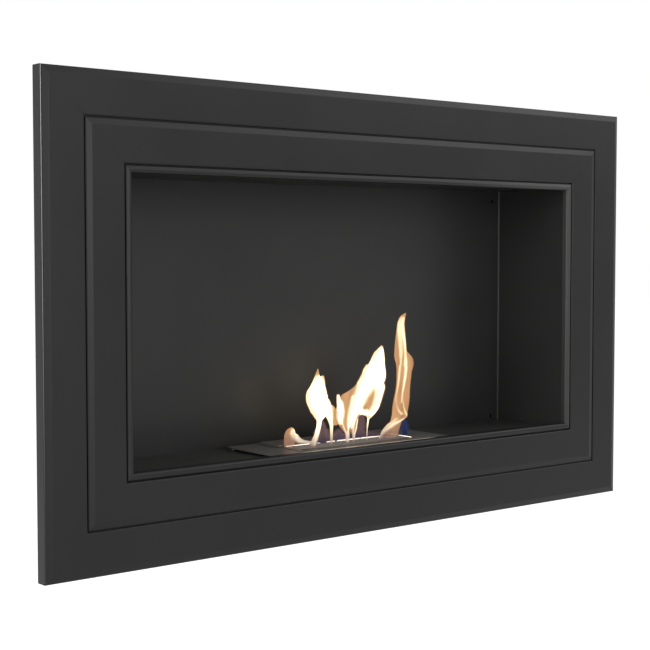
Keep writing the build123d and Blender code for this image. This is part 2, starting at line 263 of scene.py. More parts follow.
class FireplaceFinishes(PropertyGroup):
    """Colours and surface sizes of the metal and the fibre."""
    coat_colour: colour_setting(
        "Powder coat", "Colour of the black powder coat", (0.0075, 0.0075, 0.0077))
    # Painted light: lighter than the frame's coat, standing in for the light inside the firebox
    casing_coat_and_light: colour_setting(
        "Casing coat", "Colour of the coat inside the casing", (0.019, 0.0188, 0.0185))
    # Painted light: much lighter than the frame's coat, standing in for light on the plate in the
    # casing's shade
    burner_coat_and_light: colour_setting(
        "Burner coat", "Colour of the coat on the burner's plate", (0.10, 0.10, 0.097))
    # Painted light: lighter than the casing's coat, standing in for flame light on the casing's
    # floor
    floor_coat_and_light: colour_setting(
        "Floor coat", "Colour of the coat on the casing's floor", (0.032, 0.032, 0.031))
    coat_roughness: share_setting("Coat roughness", "Roughness of the satin coat", 0.36)
    coat_ripple: length_setting("Coat ripple", "Width of the ripples in the baked coat", 1.6 * MM)
    steel_colour: colour_setting(
        "Stainless steel", "Colour of the bare burner steel", (0.56, 0.55, 0.53))
    zinc_colour: colour_setting(
        "Zinc", "Colour of the plated studs, nuts and corner keys", (0.55, 0.56, 0.57))
    fibre_colour: colour_setting("Fibre", "Colour of the ceramic fibre pad", (0.83, 0.82, 0.78))
    weld_spacing: length_setting("Weld spacing", "Distance between spot welds", 30 * MM)
    weld_width: length_setting("Weld width", "Diameter of a spot weld's dimple", 5 * MM)


class FireplaceFasteners(PropertyGroup):
    """Thread and nut sizes."""
    thread_pitch: length_setting("Thread pitch", "Pitch of the studs' thread", 0.8 * MM)
    thread_depth: length_setting("Thread depth", "Depth of the studs' thread", 0.4 * MM)
    nut_chamfer: length_setting(
        "Nut chamfer", "How far a nut's corners are turned down", 0.5 * MM)


class FireplaceFlames(PropertyGroup):
    """Sizes and colours of the flames."""
    detail: length_setting("Detail", "Size of the smallest detail in a flame", 1.1 * MM)
    sway: length_setting("Sway", "How far a flame sways in depth", 1.0 * MM)
    flatness: share_setting("Flatness", "A flame's depth as a share of its width", 0.55, low=0.1)
    body_share: share_setting(
        "Body share", "Width of the body as a share of the thin outside", 0.93, low=0.1)
    core_share: share_setting(
        "Core share", "Width of the white core as a share of the bright part", 0.72, low=0.1)
    smoothing: IntProperty(
        name="Smoothing", description="Rounds of smoothing where tongues meet", min=0, default=6)
    edge_colour: colour_setting("Edge", "Colour of a flame's thin outside", (0.62, 0.27, 0.10))
    body_colour: colour_setting("Body", "Colour of a flame's body", (0.40, 0.235, 0.12))
    cream_colour: colour_setting(
        "Cream", "Colour of a flame's body near a bright streak", (0.62, 0.48, 0.26))
    hot_colour: colour_setting(
        "Hot", "Colour of a flame's body in a bright streak", (1.0, 0.86, 0.62))
    foot_colour: colour_setting(
        "Foot", "Colour of a flame's body just over the slot", (0.19, 0.115, 0.09))
    hot_foot_colour: colour_setting(
        "Hot foot", "Colour of a bright streak just over the slot", (0.34, 0.32, 0.28))
    body_strength: FloatProperty(
        name="Body strength", description="How strongly the body glows", min=0, default=2.5)
    core_colour: colour_setting("Core", "Colour of a flame's white-hot core", (1.0, 0.74, 0.46))
    core_strength: FloatProperty(
        name="Core strength", description="How strongly the core glows", min=0, default=7.0)
    streak_blur: share_setting(
        "Streak blur", "How softly a bright streak ends, as a share of its half width", 0.6,
        low=0.1)
    blue_colour: colour_setting(
        "Blue foot", "Colour of the blue foot at the slot's right end", (0.02, 0.032, 0.115))


class FireplaceStudio(PropertyGroup):
    """Camera, lamps and floor."""
    camera_from_corner: FloatVectorProperty(
        name="Camera place", description="Camera from the frame's lower left front corner",
        subtype="TRANSLATION", unit="LENGTH", default=(-0.6480, -1.2108, 0.3233))
    camera_turn: angle_setting("Camera turn", "Camera's turn to the right", 39.39)
    camera_tilt: angle_setting("Camera tilt", "Camera's tilt, negative looking down", -3.023)
    lens: FloatProperty(
        name="Lens", description="Focal length in millimetres on a 36 mm sensor", default=78.43)
    floor_drop: length_setting("Floor drop", "Floor under the fireplace's lower edge", 0.35)
    floor_size: length_setting("Floor size", "Width of the floor", 30.0)
    ambient: FloatProperty(
        name="Ambient", description="Strength of the light from all round", default=0.3)
    floor_glow: share_setting("Floor glow", "How much whiter the floor shows as background", 0.8)


class FireplaceSettings(PropertyGroup):
    """All settings of the fireplace."""
    finishes: PointerProperty(type=FireplaceFinishes)
    fasteners: PointerProperty(type=FireplaceFasteners)
    flames: PointerProperty(type=FireplaceFlames)
    studio: PointerProperty(type=FireplaceStudio)


def settings():
    return bpy.context.scene.fireplace


# Shader nodes

class Graph:
    """A node tree being wired, with one short call for each kind of node that the finishes use."""

    def __init__(self, tree, material=None):
        self.tree = tree
        self.material = material

    def feed(self, socket, value):
        """Wires a socket into another, or sets a constant on it."""
        if isinstance(value, bpy.types.NodeSocket):
            self.tree.links.new(value, socket)
        elif socket.type == "RGBA" and len(value) == 3:
            socket.default_value = (*value, 1.0)
        else:
            socket.default_value = value

    def node(self, kind, inputs=None, **values):
        """Adds a node, sets it up and feeds its inputs, which go by name or number."""
        made = self.tree.nodes.new(kind)
        for name, value in values.items():
            setattr(made, name, value)
        for name, value in (inputs or {}).items():
            self.feed(made.inputs[name], value)
        return made

    def math(self, operation, first, second=0.0, clamp=False):
        inputs = {0: first, 1: second}
        return self.node("ShaderNodeMath", inputs, operation=operation, use_clamp=clamp).outputs[0]

    def spread(self, value, low, high, to_low=0.0, to_high=1.0):
        """Maps a value from one range to another, with soft ends."""
        inputs = {
            "Value": value, "From Min": low, "From Max": high, "To Min": to_low, "To Max": to_high}
        made = self.node("ShaderNodeMapRange", inputs, interpolation_type="SMOOTHSTEP")
        return made.outputs["Result"]

    def blend(self, share, first, second):
        """A colour between two, by share."""
        first_colour, second_colour, mixed = 6, 7, 2
        inputs = {"Factor": share, first_colour: first, second_colour: second}
        return self.node("ShaderNodeMix", inputs, data_type="RGBA").outputs[mixed]

    def strip(self, limits):
        """How far a point lies inside limits (axis, low, high, half the soft edge), from 0 to 1."""
        inside = 1.0
        for axis, low, high, soft in limits:
            along = self.axes()[axis]
            after = self.spread(along, low - soft, low + soft)
            before = self.spread(along, high - soft, high + soft, 1.0, 0.0)
            inside = self.math("MULTIPLY", inside, self.math("MULTIPLY", after, before))
        return inside

    def place(self, stretch=(1.0, 1.0, 1.0)):
        """The point on the piece, in metres, stretched along the axes."""
        point = self.node("ShaderNodeTexCoord").outputs["Object"]
        return self.node("ShaderNodeMapping", {"Vector": point, "Scale": stretch}).outputs["Vector"]

    def axes(self):
        """The point's three coordinates."""
        return self.node("ShaderNodeSeparateXYZ", {0: self.place()}).outputs

    def noise(self, scale, detail=2.0, roughness=0.5, stretch=(1.0, 1.0, 1.0)):
        inputs = {
            "Vector": self.place(stretch), "Scale": scale, "Detail": detail,
            "Roughness": roughness}
        return self.node("ShaderNodeTexNoise", inputs).outputs["Fac"]

    def bump(self, height, distance, normal=None):
        inputs = {"Height": height, "Distance": distance}
        if normal:
            inputs["Normal"] = normal
        return self.node("ShaderNodeBump", inputs).outputs["Normal"]

    def use(self, group, **inputs):
        """Places a node group and gives its outputs."""
        return self.node("ShaderNodeGroup", inputs, node_tree=group).outputs

    def surface(self, inputs):
        """Gives the material a Principled shader with these inputs, and hands it over."""
        shader = self.node("ShaderNodeBsdfPrincipled", inputs)
        self.node("ShaderNodeOutputMaterial", {"Surface": shader.outputs["BSDF"]})
        return self.material

    def glow(self, colour, strength=1.0, opacity=1.0):
        """A surface that has no colour and no gloss of its own, only its glow."""
        return self.surface({
            "Emission Color": colour, "Emission Strength": strength, "Alpha": opacity,
            "Base Color": (0.0, 0.0, 0.0), "Specular IOR Level": 0.0, "Roughness": 1.0})


def node_group(name, **inputs):
    """Turns a function that wires outputs by name into one that gives the group, made once."""
    def wrap(wire):
        def group():
            tree = bpy.data.node_groups.get(name)
            if tree:
                return tree
            tree = bpy.data.node_groups.new(name, "ShaderNodeTree")
            number = "NodeSocketFloat"
            for label, default in inputs.items():
                socket = tree.interface.new_socket(label, in_out="INPUT", socket_type=number)
                socket.default_value = default
            graph = Graph(tree)
            outputs = wire(graph, graph.node("NodeGroupInput").outputs)
            for label in outputs:
                tree.interface.new_socket(label, in_out="OUTPUT", socket_type=number)
            graph.node("NodeGroupOutput", outputs)
            return tree
        return group
    return wrap


def new_material(name):
    """The graph of a new, empty material."""
    material = bpy.data.materials.new(name)
    material.use_nodes = True
    material.node_tree.nodes.clear()
    return Graph(material.node_tree, material)


@node_group("Coat ripple", Width=1.6 * MM)
def ripple_group(graph, given):
    """Baked powder coat: fine ripples, and broad patches that are a little rougher or smoother."""
    scale = graph.math("DIVIDE", 1.0, given["Width"])
    ripples = graph.noise(scale, 2.0, 0.45)
    waves = graph.noise(graph.math("MULTIPLY", scale, 0.07), 1.0)
    height = graph.math("ADD", ripples, graph.math("MULTIPLY", waves, 1.5))
    return {"Height": height, "Patches": graph.noise(9.0, 3.0, 0.55)}


@node_group("Brushed grain", Fineness=1.0)
def brushed_group(graph, given):
    """Brushed metal: long scratches across the piece."""
    return {
        "Scratches": graph.noise(given["Fineness"], 3.0, 0.6, stretch=(12.0, 1500.0, 900.0)),
        "Smears": graph.noise(given["Fineness"], stretch=(8.0, 60.0, 40.0)),
    }


@node_group("Distance from slot", Reach=20 * MM)
def slot_distance_group(graph, given):
    """Distance from the burner's slot, as a share of a reach: 0 in the slot, 1 far from it."""
    low, high = slot_box()
    half, middle = (high - low) / 2, (high + low) / 2
    beyond = []
    for axis, along in enumerate(graph.axes()[:2]):
        away = graph.math("ABSOLUTE", graph.math("SUBTRACT", along, middle[axis]))
        beyond.append(graph.math("SUBTRACT", away, half[axis]))
    uneven = graph.math("MULTIPLY", graph.math("SUBTRACT", graph.noise(60.0), 0.5), 6 * MM)
    distance = graph.math("ADD", graph.math("MAXIMUM", *beyond), uneven)
    return {"Share": graph.math("DIVIDE", distance, given["Reach"], clamp=True)}


@node_group("Spot welds", Spacing=30 * MM, Width=5 * MM)
def spot_weld_group(graph, given):
    """Rows of small round dimples where the casing's turned edges are welded to its walls."""
    across, deep, up = graph.axes()
    top, floor, base = (graph.math("ABSOLUTE", graph.math("SUBTRACT", up, row)) for row in (
        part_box("firebox_shell")[1].z - 7.5 * MM,
        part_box("firebox_floor")[0].z + 7.5 * MM,
        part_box("firebox_shell")[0].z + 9 * MM,
    ))
    nearest = graph.math("MINIMUM", graph.math("MINIMUM", top, floor), base)
    # A whole number of spacings is added, so that the run along a wall is never below 0
    run = graph.math("ADD", graph.math("ADD", across, deep), 3.0)
    half = graph.math("MULTIPLY", given["Spacing"], 0.5)
    along = graph.math("SUBTRACT", graph.math("MODULO", run, given["Spacing"]), half)
    squares = [graph.math("MULTIPLY", side, side) for side in (along, nearest)]
    reach = graph.math("SQRT", graph.math("ADD", *squares))
    radius = graph.math("DIVIDE", reach, graph.math("MULTIPLY", given["Width"], 0.5))
    inner, outer = graph.spread(radius, 0.8, 1.0), graph.spread(radius, 1.3, 1.0)
    return {
        "Height": graph.spread(radius, 0.7, 1.0, -1.0, 0.0),
        "Ring": graph.math("MULTIPLY", inner, outer),
    }


# Finishes

def tinted(colour, *shares):
    """A colour with its parts taken times one share, or each times its own."""
    if len(shares) == 1:
        shares *= 3
    return [part * share for part, share in zip(colour, shares)]


def coat_material(name, colour, welded, painted_light_strips=()):
    """Satin black powder coat, with painted light laid on in bands, and with spot welds or none."""
    finish = settings().finishes
    graph = new_material(name)
    ripple = graph.use(ripple_group(), Width=finish.coat_ripple)
    coat = graph.blend(ripple["Patches"], tinted(colour, 0.85), tinted(colour, 1.18))
    # Each band's colour is painted light laid over the coat: painted highlights, glints and lighter
    # shading
    for limits, thin in painted_light_strips:
        coat = graph.blend(graph.strip(limits), coat, thin)
    smooth, rough = finish.coat_roughness - 0.03, finish.coat_roughness + 0.04
    normal = graph.bump(ripple["Height"], RIPPLE_HEIGHT)
    if welded:
        weld = graph.use(spot_weld_group(), Spacing=finish.weld_spacing, Width=finish.weld_width)
        height = graph.math("ADD", weld["Height"], graph.math("MULTIPLY", weld["Ring"], 0.4))
        normal = graph.bump(height, 0.12 * MM, normal)
    return graph.surface({
        "Base Color": coat,
        "Roughness": graph.spread(ripple["Patches"], 0.25, 0.75, smooth, rough),
        "IOR": COAT_IOR,
        "Normal": normal,
    })


def burner_coat_material():
    """The coat on the burner's plate and shutter, browned a little round the slot."""
    finish = settings().finishes
    graph = new_material("burner_coat")
    ripple = graph.use(ripple_group(), Width=finish.coat_ripple)
    away = graph.use(slot_distance_group(), Reach=18 * MM)["Share"]
    # The plate's colour is partly painted light
    browned = tinted(finish.burner_coat_and_light, 1.05, 0.85, 0.72)
    return graph.surface({
        "Base Color": graph.blend(away, browned, finish.burner_coat_and_light),
        "Roughness": graph.spread(ripple["Patches"], 0.25, 0.75, 0.32, 0.4),
        "IOR": PLATE_IOR,
        "Normal": graph.bump(ripple["Height"], RIPPLE_HEIGHT),
    })


def steel_material(name, heated):
    """Brushed stainless steel, with straw and blue heat tints near the slot if it gets hot."""
    steel = settings().finishes.steel_colour
    graph = new_material(name)
    grain = graph.use(brushed_group(), Fineness=1.0)
    bright = graph.blend(grain["Smears"], tinted(steel, 0.88), steel)
    if heated:
        away = graph.use(slot_distance_group(), Reach=30 * MM)["Share"]
        straw = (0.55, 0.42, 0.25)
        blue = (0.24, 0.26, 0.36)
        near = graph.blend(graph.spread(away, 0.0, 0.35), blue, straw)
        bright = graph.blend(graph.spread(away, 0.3, 0.9), near, bright)
    return graph.surface({
        "Base Color": bright,
        "Metallic": 1.0,
        "Roughness": graph.spread(grain["Scratches"], 0.3, 0.7, 0.24, 0.36),
        "Normal": graph.bump(grain["Scratches"], 0.006 * MM),
    })


def zinc_material():
    """Zinc plating with a faint yellow bloom."""
    zinc = settings().finishes.zinc_colour
    graph = new_material("zinc_plating")
    bloom = graph.noise(120.0, 3.0, 0.6)
    yellowed = tinted(zinc, 1.04, 1.0, 0.86)
    ripple = graph.use(ripple_group(), Width=0.5 * MM)
    return graph.surface({
        "Base Color": graph.blend(graph.spread(bloom, 0.3, 0.7), zinc, yellowed),
        "Metallic": 1.0,
        "Roughness": graph.spread(bloom, 0.2, 0.8, 0.28, 0.42),
        "Normal": graph.bump(ripple["Height"], RIPPLE_HEIGHT),
    })


def fibre_material():
    """Matted white ceramic fibre."""
    fibre = settings().finishes.fibre_colour
    graph = new_material("ceramic_fibre")
    strands = graph.noise(1.0, 5.0, 0.65, stretch=(90.0, 1100.0, 1100.0))
    crossing = graph.noise(1.0, 5.0, 0.65, stretch=(1000.0, 120.0, 900.0))
    matted = graph.math("MULTIPLY", graph.math("ADD", strands, crossing), 0.5)
    return graph.surface({
        "Base Color": graph.blend(graph.spread(matted, 0.35, 0.65), tinted(fibre, 0.78), fibre),
        "Roughness": 0.95,
        "Sheen Weight": 0.25,
        "Normal": graph.bump(matted, 0.5 * MM),
    })


def slot_box():
    """Lowest and highest corner of the burner's slot."""
    openings = frame["record"]["physics"]["openings"]
    low, high = next(part["box_m"] for part in openings if part["name"] == "burner_slot")
    return Vector(low), Vector(high)


def slot_origin():
    """Middle of the slot, on top of its lining."""
    low, high = slot_box()
    return Vector(((low.x + high.x) / 2, (low.y + high.y) / 2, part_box("slot_frame")[1].z))


@node_group("Flame wisps", Height=0.1)
def flame_group(graph, given):
    """What all parts of a flame share: their share of a height over the slot, and slow wisps."""
    above = graph.math("SUBTRACT", graph.axes()[2], slot_origin().z)
    return {
        "Rise": graph.math("DIVIDE", above, given["Height"], clamp=True),
        "Wisps": graph.noise(1.0, stretch=(110.0, 110.0, 18.0)),
    }


def edge_material():
    """The thin orange outside of a flame."""
    graph = new_material("flame_edge")
    parts = graph.use(flame_group(), Height=FLAME_RISE)
    thick = graph.spread(parts["Wisps"], 0.25, 0.75, 0.1, 0.26)
    fade = graph.spread(parts["Rise"], 0.0, 0.5, 0.5, 1.0)
    opacity = graph.math("MULTIPLY", thick, fade)
    return graph.glow(settings().flames.edge_colour, opacity=opacity)


def body_material():
    """A flame's body: peach, cream near its bright streaks, white in them, dimmer at its foot."""
    flames = settings().flames
    graph = new_material("flame_body")
    parts = graph.use(flame_group(), Height=FLAME_RISE)
    streak = graph.node("ShaderNodeAttribute", attribute_name="streak_share").outputs["Fac"]
    wisp = graph.spread(parts["Wisps"], 0.3, 0.7)
    peach = graph.blend(wisp, tinted(flames.body_colour, 0.8, 0.74, 0.68), flames.body_colour)
    warm = graph.blend(graph.spread(streak, 0.0, 0.55), peach, flames.cream_colour)
    high = graph.blend(graph.spread(streak, 0.4, 0.95), warm, flames.hot_colour)
    low = graph.blend(streak, flames.foot_colour, flames.hot_foot_colour)
    colour = graph.blend(graph.spread(parts["Rise"], 0.0, 0.45), low, high)
    veil = graph.spread(parts["Wisps"], 0.25, 0.75, 0.3, 0.46)
    thick = graph.math("ADD", graph.spread(streak, 0.0, 0.9, 0.0, 0.5), veil)
    fade = graph.spread(parts["Rise"], 0.0, 0.45, 0.6, 1.0)
    return graph.glow(colour, flames.body_strength, graph.math("MULTIPLY", thick, fade))


def core_material():
    """The white-hot core, which gives most of a flame's light."""
    flames = settings().flames
    graph = new_material("flame_core")
    wisps = graph.use(flame_group(), Height=FLAME_RISE)["Wisps"]
    dimmer = tinted(flames.core_colour, 0.96, 0.92, 0.86)
    return graph.glow(graph.blend(wisps, dimmer, flames.core_colour), flames.core_strength)


def haze_material():
    """The faint brown and violet haze between the flames' feet."""
    graph = new_material("flame_haze")
    parts = graph.use(flame_group(), Height=HAZE_RISE)
    brown = (0.30, 0.18, 0.19)
    violet = (0.15, 0.105, 0.15)
    colour = graph.blend(graph.spread(parts["Rise"], 0.1, 0.5), violet, brown)
    return graph.glow(colour, opacity=graph.spread(parts["Wisps"], 0.2, 0.8, 0.035, 0.08))


def blue_material():
    """The blue foot of the right flame."""
    graph = new_material("flame_blue")
    parts = graph.use(flame_group(), Height=HAZE_RISE)
    blue = settings().flames.blue_colour
    colour = graph.blend(parts["Wisps"], blue, [part + 0.025 for part in blue])
    return graph.glow(colour, opacity=graph.spread(parts["Rise"], 0.0, 0.6, 0.06, 0.14))


def slot_glow_material(name, colour, opacity, strength):
    """Burning vapour along the slot, in streaks that follow it."""
    graph = new_material(name)
    streaks = graph.noise(1.0, 3.0, 0.6, stretch=(14.0, 420.0, 300.0))
    patchy = graph.blend(graph.spread(streaks, 0.3, 0.7), tinted(colour, 0.75), colour)
    return graph.glow(patchy, strength, graph.spread(streaks, 0.3, 0.7, *opacity))


def hole_shade_material():
    """Painted shade: black that shows from the front alone, where the wall behind a hole lies in
    shade.
    """
    graph = new_material("hole_shade")
    behind = graph.node("ShaderNodeNewGeometry").outputs["Backfacing"]
    return graph.surface({
        "Base Color": (0.004, 0.004, 0.004), "Specular IOR Level": 0.0,
        "Alpha": graph.math("SUBTRACT", 1.0, behind)})


# Modelling by hand

def deselect():
    bpy.ops.object.select_all(action="DESELECT")


def pick(*pieces):
    """Selects these objects alone. The last one is the active one."""
    deselect()
    for piece in pieces:
        piece.select_set(True)
    bpy.context.view_layer.objects.active = pieces[-1]


def apply_modifier(piece, kind, **values):
    """Adds a modifier, sets it up and applies it."""
    pick(piece)
    modifier = piece.modifiers.new(kind.title(), kind)
    for name, value in values.items():
        setattr(modifier, name, value)
    bpy.ops.object.modifier_apply(modifier=modifier.name)


def settle(piece):
    """Leaves the object at the origin, unturned and unscaled, with its place in its mesh."""
    pick(piece)
    bpy.ops.object.transform_apply(location=True, rotation=True, scale=True)


def join(pieces, name):
    """Makes one object of several."""
    pick(*pieces)
    if len(pieces) > 1:
        bpy.ops.object.join()
    whole = bpy.context.object
    whole.name = name
    whole.data.name = name
    return whole


def copy_to(piece, places):
    """Copies of a piece that was made at the origin, at these places, each with its own mesh."""
    copies = []
    for place in places:
        copy = piece.copy()
        copy.data = piece.data.copy()
        bpy.context.collection.objects.link(copy)
        copy.location = place
        settle(copy)
        copies.append(copy)
    bpy.data.objects.remove(piece)
    return copies


def dress(names, material):
    """Gives CAD nodes a material."""
    for name in names:
        mesh = frame["nodes"][name].data
        mesh.materials.clear()
        mesh.materials.append(material)


def finish_piece(piece, material, body, angle=math.radians(35)):
    """Smooths a modelled piece, gives it its material and lets it ride on a body."""
    settle(piece)
    bpy.ops.object.shade_smooth_by_angle(angle=angle)
    piece.data.materials.clear()
    piece.data.materials.append(material)
    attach(piece, body)
    return piece


def stud_centres():
    """Where the studs stand, across and up, read from the nuts' node."""
    nut_width = 12 * MM
    groups = []
    for vertex in frame["nodes"]["frame_nuts"].data.vertices:
        point = Vector((vertex.co.x, 0, vertex.co.z))
        near = [group for group in groups if (group[0] - point).length < nut_width]
        if near:
            near[0].append(point)
        else:
            groups.append([point])
    return [(Vector(map(min, *group)) + Vector(map(max, *group))) / 2 for group in groups]


def threaded_stud(radius, front, rear):
    """One stud with a rolled thread, its free end at the rear, on the axis Y through the origin."""
    sizes = settings().fasteners
    pitch, depth = sizes.thread_pitch, sizes.thread_depth
    turns = math.ceil((rear - front) / pitch) + 2
    deselect()
    bpy.ops.mesh.primitive_plane_add(size=pitch, enter_editmode=True)
    bpy.ops.mesh.merge(type="CENTER")
    bpy.ops.transform.translate(value=(radius - depth, 0, 0))
    for step in (depth, -depth):
        bpy.ops.mesh.extrude_region_move(TRANSFORM_OT_translate={"value": (step, 0, pitch / 2)})
    bpy.ops.object.mode_set(mode="OBJECT")
    stud = bpy.context.object
    apply_modifier(
        stud, "SCREW", axis="Z", screw_offset=pitch, iterations=turns, steps=20, render_steps=20)
    bpy.ops.object.mode_set(mode="EDIT")
    bpy.ops.mesh.select_all(action="SELECT")
    bpy.ops.mesh.remove_doubles(threshold=pitch / 50)
    for height, below in ((pitch, True), (pitch + rear - front, False)):
        bpy.ops.mesh.select_all(action="SELECT")
        bpy.ops.mesh.bisect(
            plane_co=(0, 0, height), plane_no=(0, 0, 1), use_fill=True,
            clear_inner=below, clear_outer=not below)
    bpy.ops.mesh.select_all(action="SELECT")
    bpy.ops.mesh.normals_make_consistent(inside=False)
    bpy.ops.object.mode_set(mode="OBJECT")
    stud.location = (0, front - pitch, 0)
    stud.rotation_euler = (math.radians(-90), 0, 0)
    settle(stud)
    return stud


def hexagon_nut(corner, bore, front, rear):
    """One nut with turned-down corners, on the axis Y through the origin."""
    chamfer = settings().fasteners.nut_chamfer
    allowance = 0.02 * MM
    thickness = rear - front
    deselect()
    bpy.ops.mesh.primitive_cylinder_add(vertices=6, radius=corner, depth=thickness)
    nut = bpy.context.object
    bpy.ops.mesh.primitive_cylinder_add(
        vertices=48, radius=corner + allowance, depth=thickness + allowance)
    lathe = bpy.context.object
    apply_modifier(
        lathe, "BEVEL", width=chamfer, segments=1, limit_method="ANGLE",
        angle_limit=math.radians(60))
    bpy.ops.mesh.primitive_cylinder_add(vertices=32, radius=bore, depth=thickness * 2)
    drill = bpy.context.object
    apply_modifier(nut, "BOOLEAN", operation="INTERSECT", object=lathe, solver="EXACT")
    apply_modifier(nut, "BOOLEAN", operation="DIFFERENCE", object=drill, solver="EXACT")
    bpy.data.objects.remove(lathe)
    bpy.data.objects.remove(drill)
    nut.rotation_euler = (math.radians(-90), 0, 0)
    nut.location = (0, (front + rear) / 2, 0)
    settle(nut)
    return nut


def fuse(piece, detail, rounds):
    """Makes one smooth closed skin of all that a piece holds."""
    apply_modifier(piece, "REMESH", mode="VOXEL", voxel_size=detail)
    apply_modifier(piece, "SMOOTH", factor=0.5, iterations=rounds)


def fibre_pad():
    """The matted pad in the tank: soft edges, and a top that sinks and swells a little."""
    edge, grain, tuft, swell = 6 * MM, 2.2 * MM, 11 * MM, 2.4 * MM
    low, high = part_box("ceramic_wool")
    deselect()
    bpy.ops.mesh.primitive_cube_add(size=1, location=(low + high) / 2)
    pad = bpy.context.object
    pad.name = "fibre_pad"
    pad.scale = high - low
    settle(pad)
    apply_modifier(pad, "BEVEL", width=edge, segments=3, limit_method="ANGLE")
    fuse(pad, grain, 4)
    tufts = bpy.data.textures.new("tufts", "CLOUDS")
    tufts.noise_scale = tuft
    tufts.noise_depth = 3
    apply_modifier(
        pad, "DISPLACE", texture=tufts, texture_coords="LOCAL", strength=swell, mid_level=1.0)
    return pad


def tube(points, flatness):
    """A closed tube along a path of points with a radius at each, flattened in depth."""
    deselect()
    bpy.ops.curve.primitive_nurbs_path_add()
    curve = bpy.context.object.data
    curve.splines.clear()
    spline = curve.splines.new("NURBS")
    spline.points.add(len(points) - 1)
    for knot, (across, deep, up, radius) in zip(spline.points, points):
        knot.co = (across * MM, deep * MM / flatness, up * MM, 1.0)
        knot.radius = radius * MM
    spline.order_u = 3
    spline.use_endpoint_u = True
    spline.resolution_u = 4
    curve.dimensions = "3D"
    curve.bevel_depth = 1.0
    curve.bevel_resolution = 3
    curve.use_fill_caps = True
    bpy.ops.object.convert(target="MESH")
    piece = bpy.context.object
    piece.scale = (1.0, flatness, 1.0)
    settle(piece)
    return piece


def tongue(points, share):
    """One tongue of flame, which sways a little in depth as it rises."""
    flames = settings().flames
    high, wide = SWAY_WAVES
    thinnest = 0.5
    path = []
    for across, up, half in points:
        sway = flames.sway / MM * math.sin(up / high + across / wide)
        path.append((across, sway, up, max(half * share, thinnest)))
    return tube(path, flames.flatness)


def burn(piece, material):
    """Smooths a flame, gives it its material and lets it ride on the burner, with a mesh of its
    own.
    """
    finish_piece(piece, material, "burner", angle=math.radians(180))
    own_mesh(piece)


def burn_tongues(name, tongues, share, behind, material):
    """Fuses tongues into one smooth closed layer of a flame over the slot, and sets it alight."""
    flames = settings().flames
    layer = join([tongue(points, share) for points in tongues], name)
    fuse(layer, flames.detail, flames.smoothing)
    layer.location = slot_origin() + Vector((0, behind * MM, 0))
    burn(layer, material)
    return layer


def heat_up(layer, streaks, hottest):
    """Marks how near each point of a layer is to its bright streaks, up to the hottest share."""
    mesh = layer.data
    places = numpy.empty(len(mesh.vertices) * 3)
    mesh.vertices.foreach_get("co", places)
    points = (places.reshape(-1, 3) - numpy.array(slot_origin()))[:, [0, 2]] / MM
    heat = numpy.zeros(len(points))
    for streak in streaks:
        for start, end in zip(streak, streak[1:]):
            foot, run = numpy.array(start[:2]), numpy.subtract(end[:2], start[:2])
            share = numpy.clip((points - foot) @ run / (run @ run), 0.0, 1.0)
            away = numpy.linalg.norm(points - foot - share[:, None] * run, axis=1)
            half = start[2] + share * (end[2] - start[2])
            blur = numpy.clip(settings().flames.streak_blur * half, *BLUR_LIMITS)
            heat = numpy.maximum(heat, numpy.clip((half + blur - away) / (2 * blur), 0.0, 1.0))
    mesh.attributes.new("streak_share", "FLOAT", "POINT").data.foreach_set("value", heat * hottest)


def burn_in_slot(name, path, thickness, material):
    """Lays a tube in the slot's mouth, flattened to a share of its height, and sets it alight."""
    layer = tube(path, 1.0)
    layer.name = name
    layer.scale = (1.0, 1.0, thickness)
    layer.location = slot_origin()
    burn(layer, material)


def slot_half():
    """Half the slot's length and half its depth, in millimetres."""
    low, high = slot_box()
    return (high.x - low.x) / 2 / MM, (high.y - low.y) / 2 / MM


def slot_glow(material):
    """The thin bright line where the flames leave the slot's rear and right edge."""
    long, deep = slot_half()
    up = 0.5
    widths = (
        (-1.0, 0.3), (-0.8, 0.4), (-0.4, 0.5), (0.0, 0.6), (0.5, 0.6), (0.9, 0.55), (0.99, 0.5))
    rear = [(share * long, deep, up, radius) for share, radius in widths]
    end = [(long - 0.4, deep * share, up, 0.4) for share in (0.7, 0.2, -0.4, -0.9)]
    burn_in_slot("flame_line", rear + end, 1.0, material)


def slot_vapour(material):
    """The thin burning layer that lies in the slot's mouth."""
    long, deep = slot_half()
    widths = (
        (-0.97, 0.5), (-0.9, 0.85), (-0.5, 0.9), (0.0, 0.9), (0.5, 0.9), (0.9, 0.85), (0.97, 0.5))
    path = [(share * long, 0, 0, deep * width) for share, width in widths]
    burn_in_slot("flame_vapour", path, 0.07, material)


# Studio

SOFTBOX_WIDTH = 1.6
SOFTBOXES = [
    ("front_softbox", (0.0, -3.17, 0.45), 36.0),
    ("right_softbox", (2.16, -1.82, 1.5), 24.0),
    ("high_softbox", (1.19, -2.56, 1.5), 6.0),
    ("left_softbox", (-3.04, -0.82, 0.56), 88.0),
]


def background_share(graph):
    """1 for rays that show the surroundings themselves, straight, mirrored or through glass."""
    path = graph.node("ShaderNodeLightPath").outputs
    seen = graph.math("MAXIMUM", path["Is Camera Ray"], path["Is Glossy Ray"])
    return graph.math("MAXIMUM", seen, path["Is Transmission Ray"])


def studio_world():
    """White all round, weaker where it only lights the fireplace than where it is seen."""
    world = bpy.data.worlds.new("white_studio")
    world.use_nodes = True
    bpy.context.scene.world = world
    world.node_tree.nodes.clear()
    graph = Graph(world.node_tree)
    strength = graph.spread(background_share(graph), 0.0, 1.0, settings().studio.ambient, 1.0)
    shown = graph.node("ShaderNodeBackground", {"Color": (1.0, 1.0, 1.0), "Strength": strength})
    graph.node("ShaderNodeOutputWorld", {"Surface": shown.outputs["Background"]})


